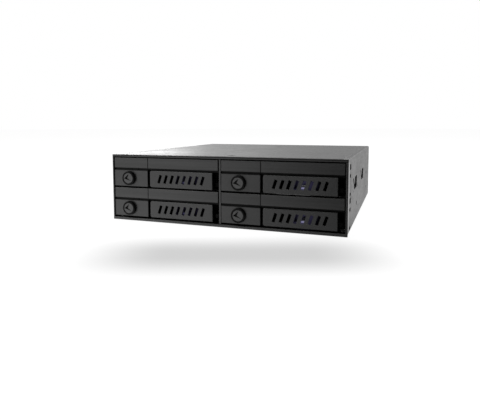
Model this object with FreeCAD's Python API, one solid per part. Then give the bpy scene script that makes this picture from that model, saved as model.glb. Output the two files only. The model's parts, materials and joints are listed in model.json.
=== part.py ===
import FreeCAD, Part
import math
import os
from FreeCAD import Vector

"""Hot swap drive cage: four 2.5 inch drive trays, two wide and two high, in one half-height 5.25 inch bay.

Millimetres. X to the right, Y from the front plane towards the back, Z up from the underside.
Each tray is drawn about its own axis (u across, y back, w up from the tray's foot) and then set in its bay.
At the end everything is moved forward, so that the origin is the middle of the underside.
"""

# ---- driving dimensions ----
BAY_W, BAY_H, DEPTH = 146.0, 41.3, 160.0     # a half-height 5.25 inch unit
SHEET = 1.0                                  # steel of the shell and of the centre wall
HALF_W = BAY_W / 2
WALL_IN = HALF_W - SHEET                     # inner face of a side wall
BEND_R = 1.3                                 # outer radius of a bend

BEZEL_D, BEZEL_TOP_D = 2.8, 4.6              # depth of the plastic frame at its sides and along its top
BAR_SIDE, BAR_TOP, BAR_BOTTOM = 1.1, 1.5, 1.8

COLUMN_X = (SHEET / 2 + WALL_IN) / 2         # middle of the right-hand column of trays
ROW_Z = {"lower": 2.6, "upper": 21.4}        # foot of each row of trays
FRONT_W, FRONT_H, FRONT_D = 70.6, 18.0, 17.5
PANE_H, STRIP_H = 10.5, 6.6                  # the lower row of a tray front and the strip above it
FRONT_Y = 0.3                                # tray fronts stand this far behind the frame's face
SKIN = 2.0                                   # moulded wall of the strip and of the pane
SEAM_U = -11.4                               # the seam in the strip, over the edge of the lock pane
PANE_EDGE = -11.5

LEVER_U = (-10.1, 31.6)
LEVER_W = (0.1, 10.3)
LEVER_Y, LEVER_SKIN = 0.4, 1.6
PIVOT_U, PIVOT_Y, PIN_R = 29.2, 5.4, 0.9
SLOTS, SLOT_PITCH, SLOT_U, SLOT_W = 8, 4.06, -3.25, 5.3
SLOT_SIZE, SLOT_LEAN = (1.75, 5.3), 18.6     # width and height, and degrees off upright

LOCK_U, LOCK_W = -24.5, 5.25                 # axis of the release button and of its lock
BARREL_R, CORE_R, RUNNING = 4.3, 3.2, 0.06   # radii, and the running gap round a turning or sliding part
BARREL_PROUD, BUTTON_TRAVEL = 1.9, 1.5
FLANGE_BACK = 9.1                            # rear face of the button's flange

DRIVE_W, DRIVE_L = 69.85, 100.2              # a 2.5 inch drive
DRIVE_END = 119.5                            # the drive's connector end, pushed home
DRIVE_HOLES = (61.72, (14.0, 90.6))          # bottom holes: spacing across, distances from the connector end
PAN_HALF, PAN_SIDE, PAN_FLOOR, PAN_LIP = 35.5, 0.5, 0.8, 7.5
PAN_END = 112.0

HOLE_M3 = 1.5
MOUNT_Y = (52.4, 131.65)                     # 79.25 apart, the front pair 47.4 behind the frame's rear lip
MOUNT_Z = (10.0, 21.84)
MOUNT_X = 69.85

LEDGE_Z = (19.7, 21.3)                       # guide ledges under the upper trays
LEDGE_W = 3.6
BOARD_Y, BOARD_T, BOARD_HALF = 126.0, 1.6, 70.0
BOARD_Z = (2.6, 38.4)
FAN, FAN_D, FAN_PITCH, FAN_X, FAN_Z = 40.0, 20.0, 32.0, 46.0, 20.25
PANEL_Y = DEPTH - SHEET
WINDOW_HALF, WINDOW_Z = 23.0, (4.0, 37.0)    # port window in the rear panel

ORIGIN_Y = (DEPTH - BARREL_PROUD + FRONT_Y) / 2   # the origin is the middle of the underside

SIDES = {"left": -1, "right": 1}
FAR = 400.0                                  # well past the object, for cuts that run right through

# the shell's sheet metal
RETURN_X = 70.0                              # free edge of the side walls' top flanges
TONGUE_Z = (36.6, 17.8)                      # frame tongues, one over each row
INDEX_Y, INDEX_HALF = 11.8, (2.9, 1.0)       # a row of oblong holes down the front of each side wall
WINDOWS_Y = (27.6, 78.8)
WINDOW = ((0.0, 28.2), (7.4, 20.8), (20.6, 20.8), (24.2, 28.2))
WINDOW_TONGUE = ((3.2, 30.0), (8.2, 24.3), (11.4, 24.3), (12.2, 30.0))
RIB_H = 1.5
FLOOR_TABS = ((20.0, 28.0), (66.0, 74.0), (108.0, 116.0))
LEDGE_PEGS = (30.0, 108.0)
FAN_RELIEF = 0.35
COVER_HALF = RETURN_X - 0.15
STEP_LAP = WALL_IN - 0.2
LAP_GAP = 0.05
GRILLE_RINGS = ((5.0, 7.2), (8.8, 11.0), (12.6, 14.8), (16.4, 18.6))
SPOKE_W = 1.8
CENTRE_FLANGE_X = 8.0
BRIDGES = ((12.0, 18.0), (60.0, 66.0), (104.0, 110.0))

# screws
CSK_R, CSK_DEEP, SHANK_R = 2.75, 1.35, 1.4
PAN_R, PAN_HIGH = 2.7, 1.7
COVER_SCREWS = [(3.0, 12.0, BAY_H), (3.0, 122.0, BAY_H)]
SIDE_SCREWS = [(153.5, 10.0), (153.5, 31.0)]
FAN_SCREWS = [(side * FAN_X + dx * FAN_PITCH / 2, FAN_Z + dz * FAN_PITCH / 2)
              for side in SIDES.values() for dx in (-1, 1) for dz in (-1, 1)]
BOARD_SCREWS = [(5.2, 21.6), (5.2, 35.0)]

# backplane
SOCKET_SHIFT = 8.7                           # a drive's connector stands this far off its middle
SOCKET_SIZE = (42.8, 6.8, 5.8)
CONNECTOR_W = PAN_FLOOR + 3.5                # height of the drive's contacts over the tray's foot
AIR_ROWS = ((12.2, 20.2), (31.2, 37.0))
AIR_X, AIR_PITCH, AIR_W = 31.0, 8.6, 6.2
PORT_DEEP = 9.0

# fans
BORE_R, RING_R, HUB_R = 18.9, 19.9, 9.6
FAN_Y = (PANEL_Y - FAN_D, PANEL_Y)
FLANGE_T, STRUT_T = 3.4, 2.0
SHAFT_R = 0.8
BLADES, BLADE_R, BLADE_PITCH = 7, 18.2, 42.0
LEAD_R = 0.7
LEAD_END = (25.0, 34.5)                      # X and Z of the lead's plug on the backplane

# the tray's own moulding, springs and lock
SHELF_W = (1.2, 9.3)                         # top of the bottom shelf and underside of the deck
POCKET_Y = 3.0                               # shelves start here behind the lever's face
LUG_R = 2.6
STRIP_W = (FRONT_H - STRIP_H, FRONT_H)
BACK_Y = FRONT_D - 1.6
GUIDE_U = (10.6, 13.0)                       # the light guide
PEG_U, PEG_W, PEG_R = 27.0, 3.6, 1.2         # pegs that locate the pan on the moulding
VENTS_U = [u for u in (-30.0 + 6.6 * n for n in range(9)) if abs(u - LOCK_U) > 3.6]
VENT_HALF, VENT_W = 2.2, (5.6, 8.4)
SPRING_U = -31.2
POINTER_DEEP = 0.9                           # depth of the pointer sunk in the lock's face
POINTER = ((2.9, 183.0), (2.85, 80.0), (0.55, 172.0), (2.85, 321.0))   # radius and degrees of each corner


# ---- shapes ----
def box(x, y, z):
    """Block over the (low, high) pairs x, y and z."""
    return Part.makeBox(x[1] - x[0], y[1] - y[0], z[1] - z[0], Vector(x[0], y[0], z[0]))


def mirror_x(span, side):
    """A (low, high) pair of X as it is on the right (side 1) or mirrored to the left (side -1)."""
    return span if side > 0 else (-span[1], -span[0])


def rod(axis, centre, radius, span):
    """Cylinder along axis x, y or z over span; centre holds its other two coordinates in order."""
    a, b = centre
    start = {"x": (span[0], a, b), "y": (a, span[0], b), "z": (a, b, span[0])}[axis]
    way = {"x": (1, 0, 0), "y": (0, 1, 0), "z": (0, 0, 1)}[axis]
    return Part.makeCylinder(radius, span[1] - span[0], Vector(*start), Vector(*way))


def fuse(*shapes):
    return shapes[0].fuse(list(shapes[1:])).removeSplitter()


def cut(shape, *tools):
    return shape.cut(list(tools))


def edges_along(shape, axis, spots):
    """Straight edges of a shape along an axis, through one of the spots (the other two coordinates)."""
    keep = "xyz".replace(axis, "")
    found = []
    for edge in shape.Edges:
        ends = [v.Point for v in edge.Vertexes]
        if len(ends) != 2:
            continue
        for spot in spots:
            if all(abs(getattr(p, k) - s) < 0.01 for p in ends for k, s in zip(keep, spot)):
                found.append(edge)
                break
    return found


def rounded(shape, axis, spots, radius):
    return shape.makeFillet(radius, edges_along(shape, axis, spots))


def faced(x, y, z, edge, face=0):
    """Block whose four edges round its front face (0) or its rear face (1) are rounded."""
    block = box(x, y, z)
    rim = [e for e in block.Edges if all(abs(v.Point.y - y[face]) < 0.01 for v in e.Vertexes)]
    return block.makeFillet(edge, rim)


def slab(points, y):
    """Prism along Y over an outline of (x, z) points."""
    ring = [Vector(px, y[0], pz) for px, pz in points]
    return Part.Face(Part.makePolygon(ring + ring[:1])).extrude(Vector(0, y[1] - y[0], 0))


def side_slab(points, x):
    """Prism along X over an outline of (y, z) points."""
    ring = [Vector(x[0], py, pz) for py, pz in points]
    return Part.Face(Part.makePolygon(ring + ring[:1])).extrude(Vector(x[1] - x[0], 0, 0))


def pad(x, y, z, axis, radius):
    """Block whose four edges along an axis are rounded."""
    sides = {"x": (y, z), "y": (x, z), "z": (x, y)}[axis]
    return rounded(box(x, y, z), axis, [(a, b) for a in sides[0] for b in sides[1]], radius)


def coil(mean_r, wire_r, pitch, turns):
    """Spring of round wire about Z, standing on Z = 0."""
    helix = Part.makeHelix(pitch, pitch * turns, mean_r)
    ends = [Vector(mean_r + wire_r, 0, 0), Vector(mean_r - wire_r, 0, 0)]
    halves = [Part.Arc(a, Vector(mean_r, 0, z), b).toShape() for a, z, b in
              ((ends[0], wire_r, ends[1]), (ends[1], -wire_r, ends[0]))]
    spring = Part.Wire(helix.Edges).makePipeShell([Part.Wire(halves)], True, True)
    spring.translate(Vector(0, 0, wire_r))
    return spring


def cross(width=0.6, size=3.0, depth=0.9):
    """Cross recess cutter at the origin, sunk below Z = 0."""
    half, slot = size / 2, width / 2
    bar = box((-half, half), (-slot, slot), (-depth, 1))
    return fuse(bar, box((-slot, slot), (-half, half), (-depth, 1)))


# ---- screws, drawn pointing down with the head's face at Z = 0 ----
def csk_cone(extra=0.0):
    return Part.makeCone(SHANK_R + extra, CSK_R + extra, CSK_DEEP, Vector(0, 0, -CSK_DEEP))


def csk_screw(length):
    shank = Part.makeCylinder(SHANK_R, length, Vector(0, 0, -length))
    return cut(fuse(csk_cone(), shank), cross())


def pan_screw(length):
    head = Part.makeCylinder(PAN_R, PAN_HIGH)
    top = [e for e in head.Edges if abs(e.CenterOfMass.z - PAN_HIGH) < 0.01 and e.Closed]
    head = head.makeFillet(0.8, top)
    recess = cross()
    recess.translate(Vector(0, 0, PAN_HIGH))
    return cut(fuse(head, Part.makeCylinder(SHANK_R, length, Vector(0, 0, -length))), recess)


def aimed(shape, way, at):
    """A shape drawn pointing down, turned to point along way (a letter with its sign) and set at a place."""
    turn = {"-z": (Vector(1, 0, 0), 0), "-y": (Vector(1, 0, 0), -90), "-x": (Vector(0, 1, 0), 90),
            "+x": (Vector(0, 1, 0), -90)}[way]
    placed = shape.copy()
    placed.rotate(Vector(0, 0, 0), turn[0], turn[1])
    placed.translate(Vector(*at))
    return placed


def csk_places():
    """Place and direction of every countersunk screw in the shell."""
    places = [(at, "-z") for at in COVER_SCREWS]
    for side in SIDES.values():
        places += [((side * HALF_W, y, z), "-x" if side > 0 else "+x") for y, z in SIDE_SCREWS]
    return places


def csk_seats():
    return [aimed(csk_cone(0.02), way, at) for at, way in csk_places()]


def shell_screws():
    return Part.makeCompound([aimed(csk_screw(4.2), way, at) for at, way in csk_places()])


def fan_screws():
    return Part.makeCompound([aimed(csk_screw(6.0), "-y", (x, DEPTH, z)) for x, z in FAN_SCREWS])


def board_screws():
    back = BOARD_Y + BOARD_T
    return Part.makeCompound([aimed(pan_screw(4.5), "-y", (x, back, z)) for x, z in BOARD_SCREWS])


# ---- the shell ----
def side_wall_openings(side):
    """Everything cut through one side wall."""
    wall = mirror_x((WALL_IN - 0.6, HALF_W + 1), side)
    cuts = []
    long, tall = INDEX_HALF
    index_span = (INDEX_Y - long, INDEX_Y + long)
    for z in TONGUE_Z:
        cuts.append(pad(wall, index_span, (z - 1.6, z + 1.6), "x", 0.4))
    for foot in ROW_Z.values():
        for z in (foot - 0.1, foot + 10.2):
            cuts.append(pad(wall, index_span, (z - tall, z + tall), "x", tall - 0.05))
    for start in WINDOWS_Y:
        outline = [(start + y, z) for y, z in WINDOW]
        window = rounded(side_slab(outline, wall), "x", outline, 0.6)
        cuts.append(cut(window, side_slab([(start + y, z) for y, z in WINDOW_TONGUE], wall)))
    for y in MOUNT_Y:
        cuts += [rod("x", (y, z), HOLE_M3, wall) for z in MOUNT_Z]
    for y in LEDGE_PEGS:
        cuts.append(rod("x", (y, sum(LEDGE_Z) / 2), 0.6, wall))
    for y, z in SIDE_SCREWS:
        cuts.append(rod("x", (y, z), SHANK_R, wall))
    return cuts


def base_pan():
    """Floor and side walls in one folded sheet, with flanges turned in along the top."""
    shell = box((-HALF_W, HALF_W), (BEZEL_D, DEPTH), (0, BAY_H))
    hollow = box((-WALL_IN, WALL_IN), (0, FAR), (SHEET, BAY_H - SHEET))
    mouth = box((-RETURN_X, RETURN_X), (0, FAR), (BAY_H - 3 * SHEET, FAR))
    shell = cut(shell, hollow, mouth)
    shell = rounded(shell, "y", [(-HALF_W, 0), (HALF_W, 0)], BEND_R)
    shell = rounded(shell, "y", [(-HALF_W, BAY_H), (HALF_W, BAY_H)], SHEET - 0.1)
    shell = rounded(shell, "y", [(-WALL_IN, SHEET), (WALL_IN, SHEET)], BEND_R - SHEET)
    shell = cut(shell, box((-FAR, FAR), (0, BEZEL_TOP_D), (BAY_H - BAR_TOP, FAR)))

    ribs, cuts = [], []
    for side in SIDES.values():
        for x in ((1.4, 4.0), (68.6, 71.2)):
            outer = x[0] > COLUMN_X
            spans = [(8.0, 47.0), (58.0, 118.0)] if outer else [(8.0, 118.0)]
            for y in spans:
                lane = mirror_x(x, side)
                ribs.append(rounded(box(lane, y, (SHEET / 2, SHEET + RIB_H)), "y",
                                    [(lane[0], SHEET + RIB_H), (lane[1], SHEET + RIB_H)], 0.5))
                cuts.append(box((lane[0] + 0.8, lane[1] - 0.8), (y[0] + 1, y[1] - 1),
                                (-1, SHEET + RIB_H - 0.8)))
        cuts += side_wall_openings(side)
        fan = mirror_x((FAN_X - FAN / 2 - FAN_RELIEF, FAN_X + FAN / 2 + FAN_RELIEF), side)
        cuts.append(box(fan, (PANEL_Y - FAN_D - FAN_RELIEF, PANEL_Y), (-1, SHEET + 0.01)))
        cuts += [rod("z", (side * MOUNT_X, y), HOLE_M3, (-1, SHEET + 1)) for y in MOUNT_Y]
    cuts += [box((-SHEET / 2, SHEET / 2), y, (-1, SHEET + 1)) for y in FLOOR_TABS]
    return cut(fuse(shell, *ribs), *cuts, *csk_seats())


def top_cover():
    """Flat lid whose long edges step down under the flanges of the side walls."""
    top = (BAY_H - SHEET, BAY_H)
    y = (BEZEL_TOP_D + 0.1, DEPTH)
    lid = box((-COVER_HALF, COVER_HALF), y, top)
    for side in SIDES.values():
        low = (BAY_H - 2 * SHEET - LAP_GAP, BAY_H - SHEET - LAP_GAP)
        web = box(mirror_x((COVER_HALF - SHEET, COVER_HALF), side), (20.0, 157.0), (low[0], top[1]))
        lap = box(mirror_x((COVER_HALF - SHEET, STEP_LAP), side), (20.0, 157.0), low)
        lid = fuse(lid, web, lap)
    lid = rounded(lid, "y", [(-COVER_HALF, BAY_H), (COVER_HALF, BAY_H)], 0.45)
    holes = [rod("z", at[:2], SHANK_R + 0.1, (BAY_H - 3, BAY_H + 1)) for at in COVER_SCREWS]
    return cut(lid, *holes, *csk_seats())


def grille(x):
    """Ring slots punched over one fan, with four spokes left between them."""
    rings = []
    for inner, outer in GRILLE_RINGS:
        ring = rod("y", (x, FAN_Z), outer, (PANEL_Y - 1, DEPTH + 1))
        rings.append(cut(ring, rod("y", (x, FAN_Z), inner, (PANEL_Y - 2, DEPTH + 2))))
    slots = Part.makeCompound(rings)
    for turn in (0, 90):
        spoke = box((-FAN, FAN), (PANEL_Y - 3, DEPTH + 3), (-SPOKE_W / 2, SPOKE_W / 2))
        spoke.rotate(Vector(0, 0, 0), Vector(0, 1, 0), 45 + turn)
        spoke.translate(Vector(x, 0, FAN_Z))
        slots = slots.cut(spoke)
    return slots


def rear_panel():
    """Rear plate with two fan grilles, the port window and a flange turned forward along each side."""
    half = WALL_IN - 0.1
    panel = box((-half, half), (PANEL_Y, DEPTH), (SHEET + 0.05, BAY_H - SHEET - 0.1))
    for side in SIDES.values():
        panel = fuse(panel, box(mirror_x((half - SHEET, half), side), (148.0, DEPTH), (4.0, 37.0)))
    panel = rounded(panel, "z", [(-half, DEPTH), (half, DEPTH)], SHEET - 0.1)
    window = pad((-WINDOW_HALF, WINDOW_HALF), (PANEL_Y - 1, DEPTH + 1), WINDOW_Z, "y", 2.0)
    cuts = [window] + [grille(side * FAN_X) for side in SIDES.values()]
    for x, z in FAN_SCREWS:
        cuts.append(rod("y", (x, z), SHANK_R, (PANEL_Y - 1, DEPTH + 1)))
        cuts.append(aimed(csk_cone(0.02), "-y", (x, DEPTH, z)))
    for side in SIDES.values():
        for y, z in SIDE_SCREWS:
            cuts.append(rod("x", (y, z), SHANK_R, mirror_x((68.0, 74.0), side)))
    return cut(panel, *cuts, *csk_seats())


def bezel_frame():
    """Plastic frame round the tray fronts, held by four tongues that snap into the side walls."""
    inner_x, inner_z = HALF_W - BAR_SIDE, (BAR_BOTTOM, BAY_H - BAR_TOP)
    ring = faced((-HALF_W, HALF_W), (0, BEZEL_D), (0, BAY_H), 0.45)
    top = box((-HALF_W, HALF_W), (1.0, BEZEL_TOP_D), (BAY_H - BAR_TOP, BAY_H))
    top = rounded(top, "y", [(-HALF_W, BAY_H), (HALF_W, BAY_H)], 0.45)
    ring = fuse(ring, top)
    opening = box((-inner_x, inner_x), (-1, FAR), inner_z)
    bevel = 0.35
    mouth = Part.makeLoft([
        Part.makePolygon([Vector(sx * (inner_x + grow), y, z + sz * grow) for sx, z, sz in
                          ((-1, inner_z[0], -1), (1, inner_z[0], -1), (1, inner_z[1], 1), (-1, inner_z[1], 1),
                           (-1, inner_z[0], -1))])
        for y, grow in ((-0.01, bevel), (bevel, 0.0))], True)
    ring = cut(ring, opening, mouth)
    lips = [box(mirror_x((10.0, 66.0), side), (BEZEL_TOP_D - 1.0, 7.0), (39.6, 40.25))
            for side in SIDES.values()]
    tongues = []
    for side in SIDES.values():
        for z in TONGUE_Z:
            tall = (z - 1.3, z + 1.3)
            blade = box(mirror_x((71.35, 71.85), side), (1.9, 14.4), tall)
            root = box(mirror_x((71.35, HALF_W - 0.4), side), (1.9, BEZEL_D), tall)
            catch = (INDEX_Y - INDEX_HALF[0] + 0.05, INDEX_Y - 0.8)
            hook = box(mirror_x((71.5, HALF_W - 0.25), side), catch, tall)
            tongues += [blade, root, hook]
    return fuse(ring, *lips, *tongues)


def centre_wall():
    """Sheet between the columns, tabbed into the floor, with a top flange and a flange for the backplane."""
    half = SHEET / 2
    wall = box((-half, half), (0.7, BOARD_Y - 0.1), (SHEET, BAY_H - SHEET))
    flange = box((-half, CENTRE_FLANGE_X), (8.0, 128.0), (BAY_H - 2 * SHEET, BAY_H - SHEET))
    rear = box((-half, 9.0), (BOARD_Y - SHEET, BOARD_Y), (12.0, 38.0))
    tabs = [box((-half, half), y, (0.05, SHEET + 1)) for y in FLOOR_TABS]
    wall = fuse(wall, flange, rear, *tabs)
    behind_bars = [box((-half - 1, half + 1), (0, BEZEL_TOP_D + 0.4), (39.7, FAR)),
                   box((-half - 1, half + 1), (0, BEZEL_D + 0.2), (-1, BAR_BOTTOM + 0.1))]
    holes = [rod("z", at[:2], SHANK_R, (35, BAY_H)) for at in COVER_SCREWS]
    holes += [rod("y", at, SHANK_R, (120, BOARD_Y + 1)) for at in BOARD_SCREWS]
    bridges = [box((-half - 1, half + 1), y, LEDGE_Z) for y in BRIDGES]
    return cut(wall, *behind_bars, *holes, *bridges, *csk_seats())


# ---- guides ----
def upper_guide(side):
    """Ledge under the outer edge of an upper tray, with a grooved post that holds the backplane's end."""
    lane = mirror_x((WALL_IN - LEDGE_W, WALL_IN), side)
    ledge = box(lane, (5.0, BOARD_Y), LEDGE_Z)
    post = box(lane, (BOARD_Y - 1.5, BOARD_Y + BOARD_T + 1.4), (SHEET + 0.4, 38.5))
    pegs = [rod("x", (y, sum(LEDGE_Z) / 2), 0.6, mirror_x((WALL_IN - 0.5, HALF_W - 0.2), side))
            for y in LEDGE_PEGS]
    groove = box(mirror_x((60.0, BOARD_HALF), side), (BOARD_Y, BOARD_Y + BOARD_T), (-1, FAR))
    return cut(fuse(ledge, post, *pegs), groove)


def centre_guide():
    """Ledges on both sides of the centre wall, joined through its windows."""
    half = SHEET / 2
    ledges = [box(mirror_x((half, half + LEDGE_W), side), (5.0, 122.0), LEDGE_Z) for side in SIDES.values()]
    return fuse(*ledges, *[box((-half - 1, half + 1), y, LEDGE_Z) for y in BRIDGES])


# ---- backplane ----
def backplane_board():
    """Board with air slots in front of the fans."""
    board = box((-BOARD_HALF, BOARD_HALF), (BOARD_Y, BOARD_Y + BOARD_T), BOARD_Z)
    slots = []
    for side in SIDES.values():
        for rows in AIR_ROWS:
            for n in range(5):
                x = side * (AIR_X + AIR_PITCH * n)
                slots.append(pad((x - AIR_W / 2, x + AIR_W / 2), (BOARD_Y - 1, BOARD_Y + 3), rows, "y", 1.2))
    holes = [rod("y", at, SHANK_R + 0.15, (BOARD_Y - 1, BOARD_Y + 3)) for at in BOARD_SCREWS]
    return cut(board, *slots, *holes)


def drive_socket(column, row):
    """Receptacle for one drive: a body with a guide horn at each end and a slot for each blade."""
    x = column * COLUMN_X + SOCKET_SHIFT
    z = ROW_Z[row] + CONNECTOR_W
    wide, deep, tall = SOCKET_SIZE
    y = (BOARD_Y - deep, BOARD_Y)
    body = box((x - wide / 2, x + wide / 2), y, (z - tall / 2, z + tall / 2))
    horns = [box((x + s * (wide / 2 - 1.2) - 1.2, x + s * (wide / 2 - 1.2) + 1.2), (y[0] - 3.0, y[0] + 1),
                 (z - 1.9, z + 1.9)) for s in (-1, 1)]
    signal = box((x - 17.0, x - 6.8), (y[0] - 1, y[0] + 5.2), (z - 0.75, z + 0.75))
    power = box((x - 4.2, x + 17.0), (y[0] - 1, y[0] + 5.2), (z - 0.75, z + 0.75))
    keys = [box((x - 17.0, x - 15.7), (y[0] - 1, y[0] + 5.2), (z - 0.75, z + 1.7)),
            box((x + 15.7, x + 17.0), (y[0] - 1, y[0] + 5.2), (z - 0.75, z + 1.7))]
    return cut(fuse(body, *horns), signal, power, *keys)


def data_port_block():
    """Block with four keyed data ports, one for each drive."""
    y = (BOARD_Y + BOARD_T, BOARD_Y + BOARD_T + PORT_DEEP)
    block = faced((-15.0, 15.0), y, (5.4, 18.2), 0.4, 1)
    cuts = []
    for x in (-7.4, 7.4):
        for z in (8.6, 15.0):
            cuts.append(box((x - 5.2, x + 5.2), (y[1] - 6.0, y[1] + 1), (z - 1.6, z)))
            cuts.append(box((x - 5.2, x - 3.9), (y[1] - 6.0, y[1] + 1), (z - 0.5, z + 1.4)))
    return cut(block, *cuts)


def power_port(side):
    """Keyed supply port."""
    y = (BOARD_Y + BOARD_T, BOARD_Y + BOARD_T + PORT_DEEP)
    x = side * 14.0
    block = faced((x - 11.6, x + 11.6), y, (25.4, 31.4), 0.4, 1)
    slot = box((x - 10.2, x + 10.2), (y[1] - 6.0, y[1] + 1), (27.0, 28.6))
    key = box((x - 10.2, x - 8.8), (y[1] - 6.0, y[1] + 1), (28.0, 30.0))
    return cut(block, slot, key)


# ---- fans ----
def fan_frame(side):
    """Square frame with a round bore, and the motor seat carried on three struts at the rear."""
    x = side * FAN_X
    half = FAN / 2
    body = pad((x - half, x + half), FAN_Y, (FAN_Z - half, FAN_Z + half), "y", 3.0)
    waist_y = (FAN_Y[0] + FLANGE_T, FAN_Y[1] - FLANGE_T)
    waist = cut(box((x - FAN, x + FAN), waist_y, (FAN_Z - FAN, FAN_Z + FAN)),
                rod("y", (x, FAN_Z), RING_R, waist_y))
    body = cut(body, waist, rod("y", (x, FAN_Z), BORE_R, (FAN_Y[0] - 1, FAN_Y[1] + 1)))
    struts = []
    for turn in (90, 210, 330):
        strut = box((0, BORE_R + 0.4), (FAN_Y[1] - STRUT_T, FAN_Y[1]), (-1.2, 1.2))
        strut.rotate(Vector(0, 0, 0), Vector(0, 1, 0), turn)
        strut.translate(Vector(x, 0, FAN_Z))
        struts.append(strut)
    seat = rod("y", (x, FAN_Z), HUB_R, (FAN_Y[1] - STRUT_T, FAN_Y[1]))
    bearing = rod("y", (x, FAN_Z), 3.0, (FAN_Y[0] + 6.0, FAN_Y[1] - 1))
    holes = [rod("y", at, SHANK_R, (FAN_Y[0] - 1, FAN_Y[1] + 1)) for at in FAN_SCREWS]
    bore = rod("y", (x, FAN_Z), SHAFT_R + RUNNING, (FAN_Y[0], FAN_Y[1] - 0.5))
    seats = [aimed(csk_cone(0.02), "-y", (at[0], DEPTH, at[1])) for at in FAN_SCREWS]
    return cut(fuse(body, seat, bearing, *struts), bore, *holes, *seats)


def fan_rotor(side):
    """Hub cup with its shaft and swept blades."""
    x = side * FAN_X
    span = (FAN_Y[0] + 1.6, FAN_Y[1] - STRUT_T - 1.0)
    cup = rod("y", (x, FAN_Z), HUB_R, span)
    cup = cut(cup, rod("y", (x, FAN_Z), HUB_R - 1.0, (span[0] + 1.4, span[1] + 1)))
    shaft = rod("y", (x, FAN_Z), SHAFT_R, (span[0] + 0.5, FAN_Y[1] - 1.2))
    sweep = cut(rod("y", (x, FAN_Z), BLADE_R, span),
                rod("y", (x, FAN_Z), HUB_R - 0.5, (span[0] - 1, span[1] + 1)))
    middle = sum(span) / 2
    blades = []
    for n in range(BLADES):
        blade = box((HUB_R - 0.6, BLADE_R + 1), (-8.5, 8.5), (-0.5, 0.5))
        blade.rotate(Vector(0, 0, 0), Vector(1, 0, 0), BLADE_PITCH)
        blade.rotate(Vector(0, 0, 0), Vector(0, 1, 0), 360 * n / BLADES)
        blade.translate(Vector(x, middle, FAN_Z))
        blades.append(blade.common(sweep))
    return fuse(cup, shaft, *blades)


def fan_leads():
    """The short lead of each fan, from the corner of its frame to the backplane."""
    leads = []
    for side in SIDES.values():
        start = Vector(side * (FAN_X - FAN / 2 + 2.5), FAN_Y[0], FAN_Z + 13.2)
        end = Vector(side * LEAD_END[0], BOARD_Y + BOARD_T, LEAD_END[1])
        path = Part.BSplineCurve()
        path.interpolate([start, end], InitialTangent=Vector(0, -14, 0), FinalTangent=Vector(0, -14, 0))
        spine = Part.Wire([path.toShape()])
        ring = Part.Wire([Part.makeCircle(LEAD_R, start, Vector(0, -1, 0))])
        leads.append(spine.makePipeShell([ring], True, True))
    return Part.makeCompound(leads)


# ---- one tray, in its own u, y, w ----
def vents():
    """The row of air slots through the back of the moulding and through the pan's front flange."""
    return [box((u - VENT_HALF, u + VENT_HALF), (BACK_Y - 1, FRONT_D + 2), VENT_W) for u in VENTS_U]


def pegs(back):
    return [rod("y", (u, PEG_W), PEG_R, (FRONT_D - 0.5, back)) for u in (-PEG_U, PEG_U)]


def tray_front():
    """Moulding across the tray: strip above, lock pane at the left, pocket for the lever at the right."""
    half = FRONT_W / 2
    full = (-half, half)
    skin = (FRONT_Y, FRONT_Y + SKIN)
    strip = faced(full, skin, STRIP_W, 0.3)
    pane = faced((-half, PANE_EDGE), skin, (0, PANE_H), 0.3)
    tie = box(full, (FRONT_Y + 1.3, FRONT_Y + 2.9), (PANE_H, STRIP_W[0] + 1.1))
    deck = box(full, (FRONT_Y + 1.3, FRONT_D), (PANE_H, STRIP_W[0]))
    lock_block = box((LOCK_U - 6.0, LOCK_U + 6.0), (1.0, 8.0), (0, STRIP_W[0]))
    lock_shelves = [box((-half, PANE_EDGE), (FRONT_Y + 1.0, FRONT_D), w)
                    for w in ((0, SHELF_W[0]), (SHELF_W[1], STRIP_W[0]))]
    divider = box((PANE_EDGE - 1.5, PANE_EDGE), (FRONT_Y + 1.0, FRONT_D), (0, STRIP_W[0]))
    left = box((-half, -half + 1.4), (FRONT_Y + 1.0, FRONT_D), (0, STRIP_W[0]))
    right = box((half - 1.4, half), (9.0, FRONT_D), (0, STRIP_W[0]))
    back = box(full, (BACK_Y, FRONT_D), (0, STRIP_W[0]))
    ribs = [box((u - 0.6, u + 0.6), (FRONT_Y + 1.0, 8.0), (PANE_H + 0.4, FRONT_H - 1.0))
            for u in (-20.0, 0.0, 20.0)]
    shelves = []
    for w in ((0, SHELF_W[0]), (SHELF_W[1], PANE_H + 0.2)):
        shelves.append(box((PANE_EDGE - 0.2, PIVOT_U), (POCKET_Y, FRONT_D), w))
        shelves.append(box((PIVOT_U - 0.2, half), (PIVOT_Y + LUG_R - 0.1, FRONT_D), w))
        shelves.append(rod("z", (PIVOT_U, PIVOT_Y), LUG_R, w))
    body = fuse(strip, pane, tie, deck, lock_block, *lock_shelves, divider, left, right, back,
                *ribs, *shelves, *pegs(FRONT_D + 1.1))

    cuts = [rod("y", (LOCK_U, LOCK_W), BARREL_R + RUNNING, (-5, FLANGE_BACK + BUTTON_TRAVEL + 0.4)),
            rod("z", (PIVOT_U, PIVOT_Y), PIN_R, (0.4, PANE_H - 0.3)),
            box((PANE_EDGE - 2, PANE_EDGE + 1), (5.2, 10.8), (5.4, 8.4)),
            box((GUIDE_U[0] - 0.3, GUIDE_U[1] + 0.3), (12.0, FRONT_D + 1), (-1, SHELF_W[0] + 0.1)),
            box((SEAM_U - 0.15, SEAM_U + 0.15), (-1, FRONT_Y + 0.45), STRIP_W)]
    for side in SIDES.values():
        cuts.append(box(mirror_x((half - 0.45, half + 1), side), (FRONT_Y + 1.2, FAR), (13.4, 17.0)))
    return cut(body, *cuts, *vents())


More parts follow.
